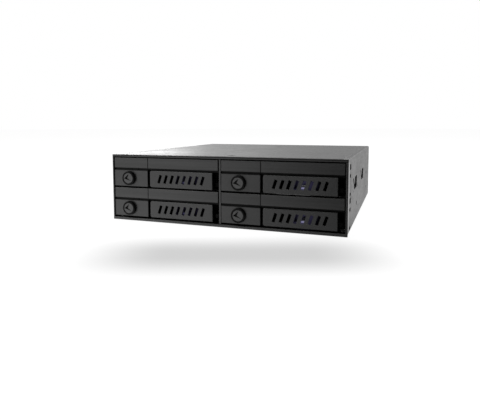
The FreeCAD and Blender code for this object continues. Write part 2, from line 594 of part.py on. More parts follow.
def tray_pan():
    """Folded sheet that carries the drive: floor, low side lips and a front flange on the moulding's pegs."""
    full = (-PAN_HALF, PAN_HALF)
    floor = box(full, (FRONT_D, PAN_END), (0, PAN_FLOOR))
    lips = [box(mirror_x((PAN_HALF - PAN_SIDE, PAN_HALF), side), (FRONT_D + 1.2, PAN_END), (0, PAN_LIP))
            for side in SIDES.values()]
    flange = box((-33.0, 33.0), (FRONT_D, FRONT_D + 0.7), (0, 9.0))
    pan = fuse(floor, *lips, flange)
    rear_top = [(PAN_END, PAN_LIP)]
    pan = pan.makeChamfer(3.0, edges_along(pan, "x", rear_top))
    cuts = pegs(FRONT_D + 2)
    cuts.append(box((GUIDE_U[0] - 0.3, GUIDE_U[1] + 0.3), (FRONT_D - 1, FRONT_D + 0.3), (-1, 0.2)))
    across, along = DRIVE_HOLES
    for u in (-across / 2, across / 2):
        for from_end in along:
            cuts.append(rod("z", (u, DRIVE_END - from_end), 1.6, (-1, 2)))
            cuts.append(Part.makeCone(2.2, 1.6, 0.4, Vector(u, DRIVE_END - from_end, 0)))
    cuts += [pad((-22.0, 8.0), (y, y + 11.0), (-1, 2), "z", 3.0) for y in (40.0, 58.0, 76.0)]
    return cut(pan, *cuts, *vents())


def lever():
    """Pull lever: slotted face, two rims behind it, hinge bosses, a foot behind the pivot and a catch."""
    w_low, w_high = LEVER_W
    face_y = (LEVER_Y, LEVER_Y + LEVER_SKIN)
    plate = box(LEVER_U, face_y, LEVER_W)
    plate = rounded(plate, "y", [(LEVER_U[0], w_low), (LEVER_U[0], w_high)], 1.3)
    front = [e for e in plate.Edges if all(abs(v.Point.y - LEVER_Y) < 0.01 for v in e.Vertexes)]
    plate = plate.makeFillet(0.35, front)
    rims = [box((LEVER_U[0] + 0.8, PIVOT_U - 1.0), (face_y[1] - 0.2, 6.0), w)
            for w in ((1.5, 2.6), (7.9, 9.0))]
    cap = box((LEVER_U[0] + 0.8, LEVER_U[0] + 2.0), (face_y[1] - 0.2, 6.0), (1.5, 9.0))
    catch = box((LEVER_U[0] + 0.8, LEVER_U[0] + 2.0), (5.0, 8.0), (2.6, 5.0))
    barb = box((LEVER_U[0] - 0.2, LEVER_U[0] + 1.5), (7.0, 8.0), (2.6, 5.0))
    end = box((PIVOT_U - 3.0, LEVER_U[1]), (face_y[1] - 0.2, PIVOT_Y), (1.5, 9.0))
    boss = rod("z", (PIVOT_U, PIVOT_Y), LEVER_U[1] - PIVOT_U, (1.5, 9.0))
    foot = box((0, 4.7), (-1.1, 1.1), (1.5, 3.9))
    foot.rotate(Vector(0, 0, 0), Vector(0, 0, 1), 26)
    foot.translate(Vector(PIVOT_U, PIVOT_Y, 0))
    body = fuse(plate, *rims, cap, catch, barb, end, boss, foot)

    spring_room = fuse(rod("z", (PIVOT_U, PIVOT_Y), 3.0, (4.2, 6.5)),
                       box((PIVOT_U - 3.1, PIVOT_U), (3.6, 9.0), (4.2, 6.5)))
    cuts = [rod("z", (PIVOT_U, PIVOT_Y), PIN_R + RUNNING, (0, PANE_H)), spring_room]
    wide, tall = SLOT_SIZE
    for n in range(SLOTS):
        slot = box((-wide / 2, wide / 2), (-1, face_y[1] + 0.1), (-tall / 2, tall / 2))
        slot.rotate(Vector(0, 0, 0), Vector(0, 1, 0), SLOT_LEAN)
        slot.translate(Vector(SLOT_U + SLOT_PITCH * n, 0, SLOT_W))
        cuts.append(slot)
    return cut(body, *cuts)


def hinge_pin():
    return rod("z", (PIVOT_U, PIVOT_Y), PIN_R, (0.4, PANE_H - 0.3))


def lever_spring():
    """Torsion spring round the hinge pin, with one leg against the back of the pocket."""
    wire = 0.3
    spring = coil(1.5, wire, 0.72, 2.0)
    spring.translate(Vector(PIVOT_U, PIVOT_Y, 4.32))
    leg = rod("y", (PIVOT_U + 1.5, 4.32 + wire), wire, (PIVOT_Y, BACK_Y))
    return fuse(spring, leg)


def release_button():
    """Round button that carries the lock; its rear flange keeps it in and its arm frees the lever's catch."""
    barrel = rod("y", (LOCK_U, LOCK_W), BARREL_R, (FRONT_Y - BARREL_PROUD, FLANGE_BACK))
    rim = [e for e in barrel.Edges if e.Closed and abs(e.CenterOfMass.y - (FRONT_Y - BARREL_PROUD)) < 0.01]
    barrel = barrel.makeFillet(0.45, rim)
    flange = box((SPRING_U - 1.8, LOCK_U + 5.6), (FLANGE_BACK - 1.0, FLANGE_BACK), (1.4, 9.1))
    arm = box((LOCK_U + 5.0, PANE_EDGE + 0.3), (FLANGE_BACK - 1.0, FLANGE_BACK), (6.0, 8.0))
    bore = rod("y", (LOCK_U, LOCK_W), CORE_R + RUNNING, (-5, FLANGE_BACK + 1))
    return cut(fuse(barrel, flange, arm), bore)


def button_spring():
    """Compression spring between the button's flange and the back of the moulding, at its pressed length."""
    start = FLANGE_BACK + BUTTON_TRAVEL + 0.1
    room = BACK_Y - start
    wire, turns = 0.3, 4.0
    spring = coil(1.35, wire, (room - 2 * wire) / turns, turns)
    spring.rotate(Vector(0, 0, 0), Vector(1, 0, 0), -90)
    spring.translate(Vector(SPRING_U, start, LOCK_W))
    return spring


def lock_core():
    """Lock with a pointer sunk in its face as a driver slot, and a cam at its tail."""
    face = FRONT_Y - BARREL_PROUD + 0.15
    core = rod("y", (LOCK_U, LOCK_W), CORE_R, (face, FLANGE_BACK + 0.1))
    tail = rod("y", (LOCK_U, LOCK_W), 1.5, (FLANGE_BACK, FLANGE_BACK + 1.6))
    cam = box((LOCK_U - 3.6, LOCK_U), (FLANGE_BACK + 0.4, FLANGE_BACK + 1.4), (LOCK_W - 1.1, LOCK_W + 1.1))
    corners = [(r, math.radians(turn)) for r, turn in POINTER]
    pointer = slab([(LOCK_U + r * math.cos(a), LOCK_W + r * math.sin(a)) for r, a in corners],
                   (face - 1, face + POINTER_DEEP))
    return cut(fuse(core, tail, cam), pointer)


def light_guide():
    """Clear strip under the pan that brings the backplane's status light up behind the lever's slots."""
    under = (-0.62, -0.06)
    strip = box((GUIDE_U[0], GUIDE_U[1]), (12.6, 123.6), under)
    riser = box(GUIDE_U, (12.6, 14.6), (under[0], 4.6))
    arm = box(GUIDE_U, (2.9, 14.6), (3.0, 4.6))
    return fuse(strip, riser, arm)


TRAY_PIECES = {
    "tray_pan": tray_pan, "tray_front": tray_front, "lever": lever, "hinge_pin": hinge_pin,
    "lever_spring": lever_spring, "release_button": release_button, "button_spring": button_spring,
    "lock_core": lock_core, "light_guide": light_guide,
}


# ---- the whole cage ----
def all_pieces():
    pieces = {
        "base_pan": base_pan(), "top_cover": top_cover(), "rear_panel": rear_panel(),
        "bezel_frame": bezel_frame(), "centre_wall": centre_wall(), "centre_guide": centre_guide(),
        "backplane_board": backplane_board(), "data_port_block": data_port_block(),
        "shell_screws": shell_screws(), "fan_screws": fan_screws(), "board_screws": board_screws(),
        "fan_leads": fan_leads(),
    }
    for name, side in SIDES.items():
        pieces[f"upper_guide_{name}"] = upper_guide(side)
        pieces[f"power_port_{name}"] = power_port(side)
        pieces[f"fan_frame_{name}"] = fan_frame(side)
        pieces[f"fan_rotor_{name}"] = fan_rotor(side)
        for row in ROW_Z:
            pieces[f"drive_socket_{row}_{name}"] = drive_socket(side, row)
    for piece, make in TRAY_PIECES.items():
        shape = make()
        for row, foot in ROW_Z.items():
            for name, side in SIDES.items():
                placed = shape.copy()
                placed.translate(Vector(side * COLUMN_X, 0, foot))
                pieces[f"{piece}_{row}_{name}"] = placed
    return pieces


def main():
    os.makedirs("parts", exist_ok=True)
    for name, shape in all_pieces().items():
        shape.translate(Vector(0, -ORIGIN_Y, 0))
        shape.exportStep(f"parts/{name}.step")


main()
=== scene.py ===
import json
import math

import bmesh
import bpy
import numpy as np
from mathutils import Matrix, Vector


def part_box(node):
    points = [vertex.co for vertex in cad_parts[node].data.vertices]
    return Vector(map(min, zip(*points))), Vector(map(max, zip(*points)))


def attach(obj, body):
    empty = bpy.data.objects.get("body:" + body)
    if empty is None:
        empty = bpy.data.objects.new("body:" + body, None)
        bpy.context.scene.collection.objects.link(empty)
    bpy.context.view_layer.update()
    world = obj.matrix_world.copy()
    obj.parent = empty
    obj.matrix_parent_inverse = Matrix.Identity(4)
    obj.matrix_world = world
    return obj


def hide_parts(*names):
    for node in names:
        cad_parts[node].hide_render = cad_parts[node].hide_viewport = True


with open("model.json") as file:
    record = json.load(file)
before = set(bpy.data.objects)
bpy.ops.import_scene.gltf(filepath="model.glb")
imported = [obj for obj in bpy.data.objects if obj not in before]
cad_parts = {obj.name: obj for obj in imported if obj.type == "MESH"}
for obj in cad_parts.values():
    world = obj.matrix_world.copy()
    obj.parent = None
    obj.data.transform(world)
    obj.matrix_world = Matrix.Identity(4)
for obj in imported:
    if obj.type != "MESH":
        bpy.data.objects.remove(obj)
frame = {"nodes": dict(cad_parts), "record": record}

"""Hot swap drive cage: camera, stage and light, the finishes of the sheet metal, mouldings and electronics,
and the small pieces that the solids leave out: fan blades, contacts, board parts and plugs.

Metres. X to the right, Y from the front to the back, Z up from the underside.
"""

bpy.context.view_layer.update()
NODES = frame["nodes"]
MM = 0.001
SIDES = {"left": -1, "right": 1}
ROWS = ("lower", "upper")
TRAYS = [f"{row}_{side}" for row in ROWS for side in SIDES]
FACE_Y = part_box("bezel_frame")[0].y           # front plane of the plastic frame
SEAM_X = -11.4                                # seam of a tray's strip from the tray's middle, in millimetres


# ---- camera ----
CAMERA_AT = (0.09836, -0.32008, 0.06008)
CAMERA_TILT, CAMERA_ROLL, CAMERA_TURN = 85.47, 0.11, 19.70      # degrees about X, Y and Z
CAMERA_LENS, CAMERA_SHIFT = 33.83, (0.0023, -0.1042)


def make_camera():
    """Camera a little above the top and right of the middle. It looks at the front and the right side."""
    lens = bpy.data.cameras.new("camera")
    lens.sensor_width = 36.0
    lens.lens = CAMERA_LENS
    lens.shift_x, lens.shift_y = CAMERA_SHIFT
    lens.clip_start = 0.01
    lens.clip_end = 50.0
    camera = bpy.data.objects.new("camera", lens)
    camera.location = CAMERA_AT
    camera.rotation_euler = [math.radians(angle) for angle in (CAMERA_TILT, CAMERA_ROLL, CAMERA_TURN)]
    bpy.context.scene.collection.objects.link(camera)
    bpy.context.scene.camera = camera


# ---- node trees ----
def add(tree, kind, wires=None, **settings):
    """Adds a node. wires gives an input, by name or number, a value or the output that feeds it."""
    node = tree.nodes.new(kind)
    for key, value in settings.items():
        setattr(node, key, value)
    for key, value in (wires or {}).items():
        if isinstance(value, bpy.types.NodeSocket):
            tree.links.new(value, node.inputs[key])
        else:
            node.inputs[key].default_value = value
    return node


def sums(tree, operation, *terms):
    """Output of a Math node over its terms."""
    wires = dict(enumerate(terms))
    return add(tree, "ShaderNodeMath", wires, operation=operation).outputs[0]


def step(tree, value, low, high):
    """0 below low, 1 above high, smooth between."""
    wires = {"Value": value, "From Min": low, "From Max": high}
    return add(tree, "ShaderNodeMapRange", wires, interpolation_type="SMOOTHSTEP").outputs["Result"]


def band(tree, value, origin, rise, fall):
    """1 from the pair rise to the pair fall, smooth across each pair, 0 outside. Millimetres from origin."""
    up, down = ([origin + mark * MM for mark in pair] for pair in (rise, fall))
    return sums(tree, "MULTIPLY", step(tree, value, *up), step(tree, value, *down))


def inverse(tree, mask):
    return sums(tree, "SUBTRACT", 1.0, mask)


def ranged(tree, value, low, high):
    """Takes a value of 0 to 1 onto low to high."""
    wires = {"Value": value, "To Min": low, "To Max": high}
    return add(tree, "ShaderNodeMapRange", wires).outputs["Result"]


def blend_colours(tree, share, first, second):
    """The first colour where share is 0, the second where it is 1. A mix node has its colours at 6 and 7."""
    return add(tree, "ShaderNodeMix", {0: share, 6: first, 7: second}, data_type="RGBA").outputs[2]


def effect(name, inputs, outputs):
    """An empty shader node group with float inputs {name: value} and outputs {name: socket type}."""
    group = bpy.data.node_groups.new(name, "ShaderNodeTree")
    for key, value in inputs.items():
        group.interface.new_socket(key, in_out="INPUT", socket_type="NodeSocketFloat").default_value = value
    for key, kind in outputs.items():
        group.interface.new_socket(key, in_out="OUTPUT", socket_type=kind)
    return group, add(group, "NodeGroupInput").outputs, add(group, "NodeGroupOutput").inputs


def place(tree, group, **values):
    """Outputs of a node group placed in a material with its own values."""
    node = add(tree, "ShaderNodeGroup", node_tree=group)
    for key, value in values.items():
        node.inputs[key.replace("_", " ")].default_value = value
    return node.outputs


def object_point(tree):
    return add(tree, "ShaderNodeTexCoord").outputs["Object"]


def point_axes(tree):
    """Object coordinates as the outputs X, Y and Z."""
    return add(tree, "ShaderNodeSeparateXYZ", {"Vector": object_point(tree)}).outputs


def scaled_point(tree, x, y, z):
    wires = {"Vector": object_point(tree), "Scale": (x, y, z)}
    return add(tree, "ShaderNodeMapping", wires).outputs["Vector"]


def noise(tree, vector, scale, detail=3.0, rough=0.5):
    wires = {"Vector": vector, "Scale": scale, "Detail": detail, "Roughness": rough}
    return add(tree, "ShaderNodeTexNoise", wires).outputs["Fac"]


# ---- shared effects ----
def make_edge_catch():
    """Rounded edges for shading, and a mask of them: how far the rounded normal turns from the flat one."""
    group, given, put = effect("edge_catch", {"Radius": 0.0002}, {"Mask": "NodeSocketFloat",
                                                                   "Normal": "NodeSocketVector"})
    bevel = add(group, "ShaderNodeBevel", {"Radius": given["Radius"]}, samples=4)
    flat = add(group, "ShaderNodeNewGeometry").outputs["True Normal"]
    turn = add(group, "ShaderNodeVectorMath", {0: bevel.outputs["Normal"], 1: flat}, operation="DOT_PRODUCT")
    mask = step(group, sums(group, "SUBTRACT", 1.0, turn.outputs["Value"]), 0.01, 0.22)
    group.links.new(mask, put["Mask"])
    group.links.new(bevel.outputs["Normal"], put["Normal"])
    return group


def make_moulded_skin():
    """Spark-eroded grain of a moulding: two sizes of fine noise as a height, and slow clouds as a tone."""
    group, given, put = effect("moulded_skin", {"Grain": 3200.0}, {"Height": "NodeSocketFloat",
                                                                    "Tone": "NodeSocketFloat"})
    at = object_point(group)
    fine = add(group, "ShaderNodeTexNoise", {"Vector": at, "Scale": given["Grain"], "Detail": 2.0})
    coarse = noise(group, at, 900.0, 1.0)
    height = sums(group, "MULTIPLY_ADD", coarse, 0.4, fine.outputs["Fac"])
    group.links.new(height, put["Height"])
    group.links.new(step(group, noise(group, at, 55.0, 3.0), 0.32, 0.68), put["Tone"])
    return group


def make_brushing():
    """Long streaks along X: noise squeezed across the brushing, in two widths."""
    group, given, put = effect("brushing", {"Reach": 22.0}, {"Height": "NodeSocketFloat",
                                                              "Tone": "NodeSocketFloat"})
    across = add(group, "ShaderNodeCombineXYZ", {"X": given["Reach"], "Y": 1200.0, "Z": 2600.0})
    wires = {0: object_point(group), 1: across.outputs[0]}
    at = add(group, "ShaderNodeVectorMath", wires, operation="MULTIPLY")
    thin = noise(group, at.outputs[0], 1.0, 4.0, 0.6)
    broad = noise(group, at.outputs[0], 0.27, 2.0)
    tone = sums(group, "ADD", sums(group, "MULTIPLY", thin, 0.6), sums(group, "MULTIPLY", broad, 0.4))
    group.links.new(thin, put["Height"])
    group.links.new(step(group, tone, 0.34, 0.66), put["Tone"])
    return group


def make_rolled_sheet():
    """Plated sheet: a faint rolling direction along Y, small crystals and slow clouds."""
    group, given, put = effect("rolled_sheet", {"Crystals": 650.0}, {"Height": "NodeSocketFloat",
                                                                      "Tone": "NodeSocketFloat"})
    rolled = noise(group, scaled_point(group, 1500.0, 60.0, 1500.0), 1.0, 3.0, 0.55)
    cells = add(group, "ShaderNodeTexVoronoi", {"Vector": object_point(group), "Scale": given["Crystals"]})
    crystal = add(group, "ShaderNodeSeparateColor", {"Color": cells.outputs["Color"]}).outputs["Red"]
    clouds = noise(group, object_point(group), 38.0, 4.0)
    tone = sums(group, "ADD", sums(group, "MULTIPLY", rolled, 0.4), sums(group, "MULTIPLY", crystal, 0.2))
    tone = sums(group, "ADD", tone, sums(group, "MULTIPLY", clouds, 0.5))
    group.links.new(rolled, put["Height"])
    group.links.new(step(group, tone, 0.36, 0.74), put["Tone"])
    return group


EDGE_CATCH = make_edge_catch()
MOULDED_SKIN = make_moulded_skin()
BRUSHING = make_brushing()
ROLLED_SHEET = make_rolled_sheet()


# ---- finishes ----
def new_finish(name, rough, metallic=0.0, **sockets):
    """A material with a Principled shader and constant socket values. Returns (material, tree, shader)."""
    material = bpy.data.materials.new(name)
    material.use_nodes = True
    tree = material.node_tree
    shader = tree.nodes["Principled BSDF"]
    shader.inputs["Roughness"].default_value = rough
    shader.inputs["Metallic"].default_value = metallic
    for key, value in sockets.items():
        shader.inputs[key.replace("_", " ")].default_value = value
    return material, tree, shader


def wire(tree, shader, colour=None, rough=None, height=None, strength=0.2, distance=0.00005, normal=None):
    """Feeds a shader's colour and roughness, and its normal from a height over an optional base normal."""
    if colour is not None:
        tree.links.new(colour, shader.inputs["Base Color"])
    if rough is not None:
        tree.links.new(rough, shader.inputs["Roughness"])
    if height is not None:
        bump = add(tree, "ShaderNodeBump", {"Height": height, "Strength": strength, "Distance": distance})
        if normal is not None:
            tree.links.new(normal, bump.inputs["Normal"])
        normal = bump.outputs["Normal"]
    if normal is not None:
        tree.links.new(normal, shader.inputs["Normal"])


def grey(value, warm=0.0):
    return (value * (1 + warm), value, value * (1 - warm), 1.0)


def moulding(name, dark, light, edge, rough=(0.42, 0.52), grain=3200.0, radius=0.15, **sockets):
    """Moulded plastic: grain, clouds between two tones, and a painted highlight, a paler line along its edges.
    """
    material, tree, shader = new_finish(name, rough[0], **sockets)
    skin = place(tree, MOULDED_SKIN, Grain=grain)
    edges = place(tree, EDGE_CATCH, Radius=radius * MM)
    colour = blend_colours(tree, skin["Tone"], dark, light)
    # painted highlight: the edge mask lifts the colour towards the edge tone
    colour = blend_colours(tree, edges["Mask"], colour, edge)
    spread = ranged(tree, skin["Tone"], *rough)
    wire(tree, shader, colour, spread, skin["Height"], 0.25, 0.00004, edges["Normal"])
    return material


# painted shade along the foot of a side wall: where it starts and ends behind the front plane, and how dark it
# is
FOOT_SHADE_START, FOOT_SHADE_END = (13.0, 19.0), (116.0, 96.0)      # dark foot of a side wall, behind the front plane
FOOT_SHADE_DEPTH = 0.92


def painted_hole_and_foot_shade(tree):
    """Painted shade: 1 on the cut faces of a side wall's holes and along the foot of its middle, 0 elsewhere.
    """
    at = point_axes(tree)
    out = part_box("base_pan")[1]
    across = sums(tree, "ABSOLUTE", at["X"])
    within = band(tree, across, out.x, (-0.97, -0.93), (-0.03, -0.07))
    under_top = step(tree, at["Z"], out.z - 1.0 * MM, out.z - 1.2 * MM)
    between = sums(tree, "MULTIPLY", step(tree, at["Z"], 0.9 * MM, 1.1 * MM), under_top)
    holes = sums(tree, "MULTIPLY", within, between)
    foot = sums(tree, "MULTIPLY", step(tree, across, out.x - 1.4 * MM, out.x - 1.3 * MM),
                step(tree, at["Z"], 1.4 * MM, 1.0 * MM))
    foot = sums(tree, "MULTIPLY", foot, band(tree, at["Y"], FACE_Y, FOOT_SHADE_START, FOOT_SHADE_END))
    return sums(tree, "MAXIMUM", holes, sums(tree, "MULTIPLY", foot, FOOT_SHADE_DEPTH))


def plated_steel(name, dark, light, edge, rough=(0.36, 0.5), radius=0.15,
                 front=None, reach=3.3, painted_shade_tone=None):
    """Plated sheet with its rolling grain and a painted highlight on its folds and edges. front is its tone
    from the front plane back to reach; the last argument is the tone of the painted shade on the faces inside
    the side walls' holes and along the foot of their middle."""
    material, tree, shader = new_finish(name, rough[0], 1.0)
    sheet = place(tree, ROLLED_SHEET)
    edges = place(tree, EDGE_CATCH, Radius=radius * MM)
    colour = blend_colours(tree, sheet["Tone"], dark, light)
    # painted highlight on folds and edges
    colour = blend_colours(tree, edges["Mask"], colour, edge)
    if front:
        colour = blend_colours(tree, front_mask(tree, reach, 0.6), colour, front)
    # painted shade on the faces inside the holes and along the foot, duller and not metallic there
    if painted_shade_tone:
        hole_and_foot_shade = painted_hole_and_foot_shade(tree)
        colour = blend_colours(tree, hole_and_foot_shade, colour, painted_shade_tone)
        unshaded = inverse(tree, hole_and_foot_shade)
        tree.links.new(unshaded, shader.inputs["Metallic"])
        tree.links.new(sums(tree, "MULTIPLY", unshaded, 0.5), shader.inputs["Specular IOR Level"])
    spread = ranged(tree, sheet["Tone"], rough[1], rough[0])
    wire(tree, shader, colour, spread, sheet["Height"], 0.06, 0.00002, edges["Normal"])
    return material


def front_mask(tree, depth, fade=0.3):
    """1 from the front plane back to depth, 0 from fade behind it (millimetres)."""
    along = point_axes(tree)["Y"]
    return step(tree, along, FACE_Y + (depth + fade) * MM, FACE_Y + depth * MM)


def near_guide(tree, tray, reach=6.5):
    """How near a point is, across the tray, to the end of its light guide: 1 at the guide, 0 at reach."""
    low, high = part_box(f"light_guide_{tray}")
    at = point_axes(tree)
    side = sums(tree, "MULTIPLY", sums(tree, "SUBTRACT", at["X"], (low.x + high.x) / 2), 0.8)
    rise = sums(tree, "SUBTRACT", at["Z"], high.z - 0.4 * MM)
    squares = [sums(tree, "MULTIPLY", part, part) for part in (side, rise)]
    away = sums(tree, "SQRT", sums(tree, "ADD", *squares))
    return step(tree, away, reach * MM, 1.0 * MM)


def light_spill(tree, shader, tray, front, colour):
    """Status light that falls on the inside of a moulding round the end of the light guide."""
    lit = sums(tree, "MULTIPLY", near_guide(tree, tray), inverse(tree, front))
    tree.links.new(blend_colours(tree, lit, grey(0.0), colour), shader.inputs["Emission Color"])
    shader.inputs["Emission Strength"].default_value = 1.0


# painted shade of a moulding behind its front: its shine and its near-black tone
RECESS_SHADE_SHINE, RECESS_SHADE_TONE = 0.08, 0.0022          # of a moulding behind its front
FACE_SHINE = 0.5


def painted_recess_shade(tree, shader, colour, front, level=FACE_SHINE):
    """Painted shade: leaves a moulding's colour and shine on its front, and takes both down to black behind
    it, in its grooves, slots and recesses.
    """
    tree.links.new(ranged(tree, front, RECESS_SHADE_SHINE, level), shader.inputs["Specular IOR Level"])
    return blend_colours(tree, front, grey(RECESS_SHADE_TONE), colour)


STRIP_FOOT = (10.9, 11.1)                     # marks on a tray front, in millimetres above its foot
# painted shade: the dark lines of the grooves and along the foot of the pane
GROOVE_SHADE_START, GROOVE_SHADE_END = (10.0, 10.2), (11.85, 11.65)
FOOT_SHADE_LINE = (0.4, 0.25)
SEAM_HALF, SEAM_DEPTH = (0.45, 0.25), 0.45    # half width of the seam's line, and how dark it is


def tray_moulding(tray):
    """Tray front: brushed strip above, fine-grained pane below, a painted highlight along its edges, and
    painted shade, black, in its grooves, along its foot and in its pocket, with a darker seam on the strip.
    """
    material, tree, shader = new_finish(f"tray_charcoal_{tray}", 0.34)
    low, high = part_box(f"tray_front_{tray}")
    at = point_axes(tree)
    on_strip = step(tree, at["Z"], *(low.z + mark * MM for mark in STRIP_FOOT))
    # painted shade in the grooves and along the foot, and a darker seam on the strip
    lines = band(tree, at["Z"], low.z, GROOVE_SHADE_START, GROOVE_SHADE_END)
    lines = sums(tree, "MAXIMUM", lines, step(tree, at["Z"], *(low.z + mark * MM for mark in FOOT_SHADE_LINE)))
    seam = sums(tree, "ABSOLUTE", sums(tree, "SUBTRACT", at["X"], (low.x + high.x) / 2 + SEAM_X * MM))
    seam = step(tree, seam, *(half * MM for half in SEAM_HALF))
    seam = sums(tree, "MULTIPLY", seam, sums(tree, "MULTIPLY", on_strip, SEAM_DEPTH))
    lines = sums(tree, "MAXIMUM", lines, seam)
    front = sums(tree, "MULTIPLY", front_mask(tree, 0.34, 0.14), inverse(tree, lines))
    skin = place(tree, MOULDED_SKIN, Grain=3200.0)
    brush = place(tree, BRUSHING, Reach=22.0)
    edges = place(tree, EDGE_CATCH, Radius=0.15 * MM)
    pane = blend_colours(tree, skin["Tone"], grey(0.0130), grey(0.0170))
    strip = blend_colours(tree, brush["Tone"], grey(0.0082), grey(0.0190))
    colour = blend_colours(tree, on_strip, pane, strip)
    # painted highlight along the edges
    colour = blend_colours(tree, edges["Mask"], colour, grey(0.028))
    colour = painted_recess_shade(tree, shader, colour, front)
    light_spill(tree, shader, tray, front, SPILL[tray.split("_")[1]])
    rough = ranged(tree, brush["Tone"], 0.38, 0.28)
    heights = add(tree, "ShaderNodeMix", {"Factor": on_strip, "A": skin["Height"], "B": brush["Height"]})
    wire(tree, shader, colour, rough, heights.outputs["Result"], 0.22, 0.00004, edges["Normal"])
    return material


def lever_moulding(tray):
    """Lever: fine-grained charcoal face with a painted highlight along its edges, painted shade, black, behind
    the face, and lit from behind near the light guide.
    """
    material, tree, shader = new_finish(f"lever_charcoal_{tray}", 0.36)
    across = point_axes(tree)["X"]
    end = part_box(f"lever_{tray}")[1].x
    ended = step(tree, across, end - 2.2 * MM, end - 1.0 * MM)
    ended = sums(tree, "MULTIPLY", ended, front_mask(tree, 5.0, 1.5))
    front = sums(tree, "MAXIMUM", front_mask(tree, 0.5, 0.2), sums(tree, "MULTIPLY", ended, 0.4))
    skin = place(tree, MOULDED_SKIN, Grain=3200.0)
    edges = place(tree, EDGE_CATCH, Radius=0.15 * MM)
    colour = blend_colours(tree, skin["Tone"], grey(0.0142), grey(0.0188))
    # painted highlight along the edges
    colour = blend_colours(tree, edges["Mask"], colour, grey(0.034))
    colour = painted_recess_shade(tree, shader, colour, front)
    light_spill(tree, shader, tray, front, SPILL[tray.split("_")[1]])
    spread = ranged(tree, skin["Tone"], 0.32, 0.40)
    wire(tree, shader, colour, spread, skin["Height"], 0.22, 0.00004, edges["Normal"])
    return material


def frame_moulding():
    """Plastic frame: charcoal in front, and painted shade, black, round its rim, at the foot of its top bar
    and behind.
    """
    material, tree, shader = new_finish("frame_charcoal", 0.4)
    height = point_axes(tree)["Z"]
    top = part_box("bezel_frame")[1].z
    # painted shade round the rim and at the foot of the top bar
    rim = step(tree, height, top - 0.60 * MM, top - 0.45 * MM)
    foot = band(tree, height, top, (-1.6, -1.5), (-1.12, -1.22))
    dark = sums(tree, "MAXIMUM", rim, foot)
    front = sums(tree, "MULTIPLY", front_mask(tree, 0.10, 0.12), inverse(tree, dark))
    skin = place(tree, MOULDED_SKIN, Grain=3000.0)
    edges = place(tree, EDGE_CATCH, Radius=0.2 * MM)
    colour = blend_colours(tree, skin["Tone"], grey(0.0125), grey(0.0165))
    colour = painted_recess_shade(tree, shader, colour, front)
    wire(tree, shader, colour, None, skin["Height"], 0.22, 0.00004, edges["Normal"])
    return material


def lock_finish():
    """Face of the lock: charcoal with a turned grain and a painted highlight along its edges, and painted
    shade, black, inside the sunk pointer.
    """
    material, tree, shader = new_finish("lock_charcoal", 0.34)
    front = front_mask(tree, -1.3)
    marks = noise(tree, object_point(tree), 1500.0, 3.0)
    edges = place(tree, EDGE_CATCH, Radius=0.1 * MM)
    colour = blend_colours(tree, step(tree, marks, 0.35, 0.65), grey(0.033), grey(0.043))
    # painted highlight along the edges
    colour = blend_colours(tree, edges["Mask"], colour, grey(0.085))
    colour = painted_recess_shade(tree, shader, colour, front)
    wire(tree, shader, colour, None, marks, 0.06, 0.00002, edges["Normal"])
    return material


def plain_metal(name, dark, light, rough=0.3, scale=900.0, radius=0.1):
    """Bare or plated small metal: slight stains, fine tool marks and bright edges."""
    material, tree, shader = new_finish(name, rough, 1.0)
    marks = noise(tree, object_point(tree), scale, 3.0)
    edges = place(tree, EDGE_CATCH, Radius=radius * MM)
    colour = blend_colours(tree, step(tree, marks, 0.35, 0.65), dark, light)
    spread = ranged(tree, marks, rough - 0.08, rough + 0.12)
    wire(tree, shader, colour, spread, marks, 0.05, 0.00002, edges["Normal"])
    return material


def board_finish():
    """Solder-masked board: dark laminate under fine parallel traces that turn corners."""
    material, tree, shader = new_finish("board_mask", 0.3)
    at = point_axes(tree)
    cells = add(tree, "ShaderNodeTexVoronoi", {"Vector": object_point(tree), "Scale": 95.0},
                distance="MANHATTAN")
    turned = add(tree, "ShaderNodeSeparateColor", {"Color": cells.outputs["Color"]}).outputs["Red"]
    along = sums(tree, "GREATER_THAN", turned, 0.5)
    run = add(tree, "ShaderNodeMix", {"Factor": along, "A": at["X"], "B": at["Z"]}).outputs["Result"]
    wave = sums(tree, "SINE", sums(tree, "MULTIPLY", run, 2 * math.pi / (1.1 * MM)))
    lines = step(tree, wave, 0.1, 0.4)
    quiet = step(tree, noise(tree, object_point(tree), 70.0, 1.0), 0.44, 0.5)
    traces = sums(tree, "MULTIPLY", lines, quiet)
    weave = noise(tree, scaled_point(tree, 1400.0, 1400.0, 1400.0), 1.0, 1.0)
    base = blend_colours(tree, weave, (0.004, 0.030, 0.014, 1), (0.006, 0.042, 0.020, 1))
    colour = blend_colours(tree, traces, base, (0.012, 0.085, 0.038, 1))
    wire(tree, shader, colour, None, traces, 0.3, 0.00003)
    return material


def guide_finish(tray):
    """Clear strip whose front end shows the status light, and dims away from it."""
    material, tree, shader = new_finish(f"light_guide_{tray}", 0.12, IOR=1.49)
    at = point_axes(tree)
    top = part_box(f"light_guide_{tray}")[1].z
    near = step(tree, at["Y"], FACE_Y + 9.0 * MM, FACE_Y + 3.2 * MM)
    low = step(tree, at["Z"], top - 0.4 * MM, top - 0.9 * MM)
    faint = noise(tree, object_point(tree), 600.0, 2.0)
    clear = blend_colours(tree, faint, (0.30, 0.32, 0.36, 1), (0.38, 0.40, 0.44, 1))
    tree.links.new(blend_colours(tree, near, clear, (0.06, 0.06, 0.08, 1)), shader.inputs["Base Color"])
    lit = sums(tree, "MULTIPLY", near, low)
    glow = blend_colours(tree, lit, grey(0.0), GLOW[tray.split("_")[1]])
    tree.links.new(glow, shader.inputs["Emission Color"])
    shader.inputs["Emission Strength"].default_value = 1.0
    return material


# status lights, idle on the left and lit on the right: the guide's end, and what it throws on the mouldings
GLOW = {"left": (0.030, 0.028, 0.060, 1), "right": (0.17, 0.165, 0.28, 1)}
SPILL = {"left": (0.006, 0.005, 0.011, 1), "right": (0.022, 0.020, 0.042, 1)}

